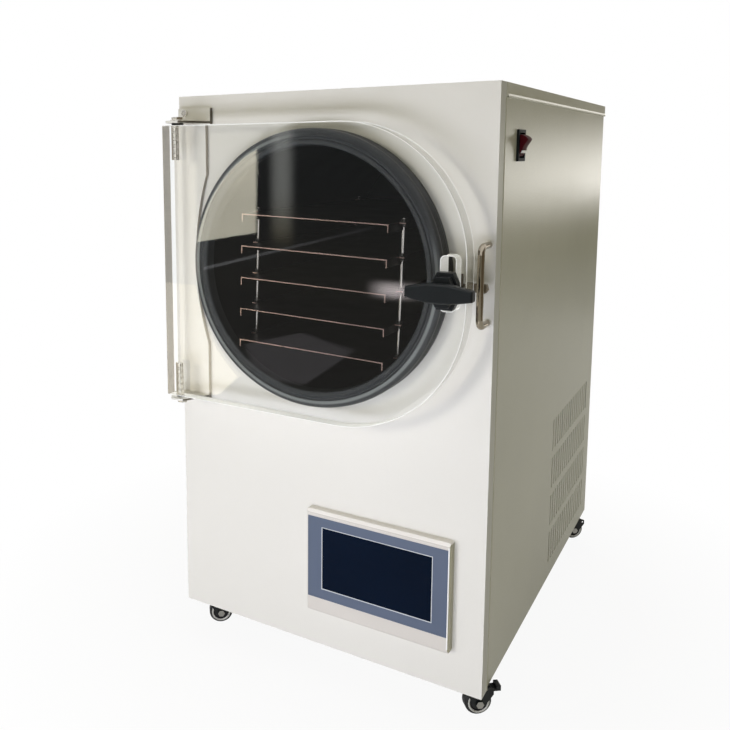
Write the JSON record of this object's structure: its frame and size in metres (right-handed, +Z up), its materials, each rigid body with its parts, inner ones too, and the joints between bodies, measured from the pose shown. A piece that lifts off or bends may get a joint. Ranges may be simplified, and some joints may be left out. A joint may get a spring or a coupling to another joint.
{
  "type": "freeze dryer",
  "caption": "Upright cabinet on casters with a horizontal round vacuum chamber, clear hinged door, shelf rack and touch panel.",
  "frame": {"origin": "middle of the whole part's box, on the floor under the casters", "axes": "+X to the right as seen from the door, +Y from the door to the back, +Z up"},
  "size_m": [0.4636, 0.7512, 0.791],
  "materials": {
    "coat": "warm off-white powder coat, satin",
    "inner_steel": "galvanised frame and brackets",
    "chamber_steel": "drawn stainless chamber, satin",
    "bright_steel": "polished stainless fasteners and keeper",
    "shelf_alloy": "warm-toned shelf plates, satin",
    "silicone": "black silicone, ridged",
    "foam": "closed-cell insulation",
    "copper": "refrigeration copper",
    "acrylic": "clear cast acrylic, polished edges",
    "black_plastic": "black nylon, fine texture",
    "black_metal": "black enamel",
    "silver_plastic": "silver-grey moulding",
    "slate_film": "slate blue printed film",
    "screen_glass": "dark display",
    "red_plastic": "red rocker",
    "mat_black": "heater mat",
    "wheel_tyre": "black polyurethane tread"
  },
  "bodies": {
    "cabinet": {"front_panel": "coat", "left_panel": "coat", "right_panel": "coat", "rear_panel": "coat", "top_cover": "coat", "base_pan": "coat", "frame": "inner_steel", "deck": "inner_steel", "vacuum_chamber": "chamber_steel", "control_box": "inner_steel", "saddles": "inner_steel", "cold_coil": "copper", "jacket": "foam", "door_gasket": "silicone", "hinge_plate": "coat", "hinge_screws": "bright_steel", "keeper_rod": "bright_steel", "shelf_1": "shelf_alloy", "shelf_2": "shelf_alloy", "shelf_3": "shelf_alloy", "shelf_4": "shelf_alloy", "shelf_5": "shelf_alloy", "heater_mats": "mat_black", "rack_rods": "bright_steel", "rack_clips": "bright_steel", "rack_rails": "inner_steel", "hmi_bezel": "silver_plastic", "hmi_field": "slate_film", "hmi_screen": "screen_glass", "hmi_case": "black_plastic", "switch_body": "black_plastic", "vacuum_pipe": "chamber_steel", "drain_pipe": "chamber_steel", "power_inlet": "black_plastic", "compressor": "black_metal", "condenser": "inner_steel", "fan_shroud": "black_plastic", "caster_plates": "inner_steel"},
    "door": {"door_panel": "acrylic", "hinge_pins": "bright_steel", "hinge_washers": "bright_steel", "hinge_bushes": "black_plastic", "latch_housing": "black_plastic", "latch_clamp": "black_metal"},
    "latch": {"latch_handle": "black_plastic", "latch_shaft": "bright_steel", "latch_tongue": "black_metal", "latch_nut": "bright_steel"},
    "rocker": {"switch_rocker": "red_plastic"},
    "fan": {"fan_rotor": "black_plastic"},
    "fork_fl": {"fork_fl": "black_metal"},
    "wheel_fl": {"wheel_fl": "wheel_tyre"},
    "fork_fr": {"fork_fr": "black_metal"},
    "wheel_fr": {"wheel_fr": "wheel_tyre"},
    "fork_bl": {"fork_bl": "black_metal"},
    "wheel_bl": {"wheel_bl": "wheel_tyre"},
    "fork_br": {"fork_br": "black_metal"},
    "wheel_br": {"wheel_br": "wheel_tyre"},
    "pedal_fl": {"pedal_fl": "black_plastic"},
    "pedal_fr": {"pedal_fr": "black_plastic"}
  },
  "joints": [
    {"name": "door_swing", "type": "hinge", "parent": "cabinet", "child": "door", "pos_m": [-0.2032, -0.32915, 0.567], "axis": [0, 0, -1], "range_deg": [0, 180]},
    {"name": "latch_turn", "type": "hinge", "parent": "door", "child": "latch", "pos_m": [0.1818, -0.33985, 0.56], "axis": [0, 1, 0], "range_deg": [0, 90]},
    {"name": "switch_rock", "type": "hinge", "parent": "cabinet", "child": "rocker", "pos_m": [0.2148, -0.19985, 0.72], "axis": [0, -1, 0], "range_deg": [0, 18]},
    {"name": "fan_spin", "type": "hinge", "parent": "cabinet", "child": "fan", "pos_m": [0.1393, 0.17695, 0.192], "axis": [1, 0, 0], "continuous": true},
    {"name": "swivel_fl", "type": "hinge", "parent": "cabinet", "child": "fork_fl", "pos_m": [-0.2057, -0.25585, 0.038], "axis": [0, 0, 1], "continuous": true},
    {"name": "roll_fl", "type": "hinge", "parent": "fork_fl", "child": "wheel_fl", "pos_m": [-0.19861, -0.25031, 0.0175], "axis": [-0.6157, 0.788, 0], "continuous": true},
    {"name": "swivel_fr", "type": "hinge", "parent": "cabinet", "child": "fork_fr", "pos_m": [0.1943, -0.25585, 0.038], "axis": [0, 0, 1], "continuous": true},
    {"name": "roll_fr", "type": "hinge", "parent": "fork_fr", "child": "wheel_fr", "pos_m": [0.20139, -0.25031, 0.0175], "axis": [-0.6157, 0.788, 0], "continuous": true},
    {"name": "swivel_bl", "type": "hinge", "parent": "cabinet", "child": "fork_bl", "pos_m": [-0.2057, 0.31115, 0.038], "axis": [0, 0, 1], "continuous": true},
    {"name": "roll_bl", "type": "hinge", "parent": "fork_bl", "child": "wheel_bl", "pos_m": [-0.19861, 0.31669, 0.0175], "axis": [-0.6157, 0.788, 0], "continuous": true},
    {"name": "swivel_br", "type": "hinge", "parent": "cabinet", "child": "fork_br", "pos_m": [0.1943, 0.31115, 0.038], "axis": [0, 0, 1], "continuous": true},
    {"name": "roll_br", "type": "hinge", "parent": "fork_br", "child": "wheel_br", "pos_m": [0.20139, 0.31669, 0.0175], "axis": [-0.6157, 0.788, 0], "continuous": true},
    {"name": "brake_fl", "type": "hinge", "parent": "fork_fl", "child": "pedal_fl", "pos_m": [-0.18639, -0.24077, 0.0325], "axis": [-0.6157, 0.788, 0], "range_deg": [0, 18]},
    {"name": "brake_fr", "type": "hinge", "parent": "fork_fr", "child": "pedal_fr", "pos_m": [0.21361, -0.24077, 0.0325], "axis": [-0.6157, 0.788, 0], "range_deg": [0, 18]}
  ]
}
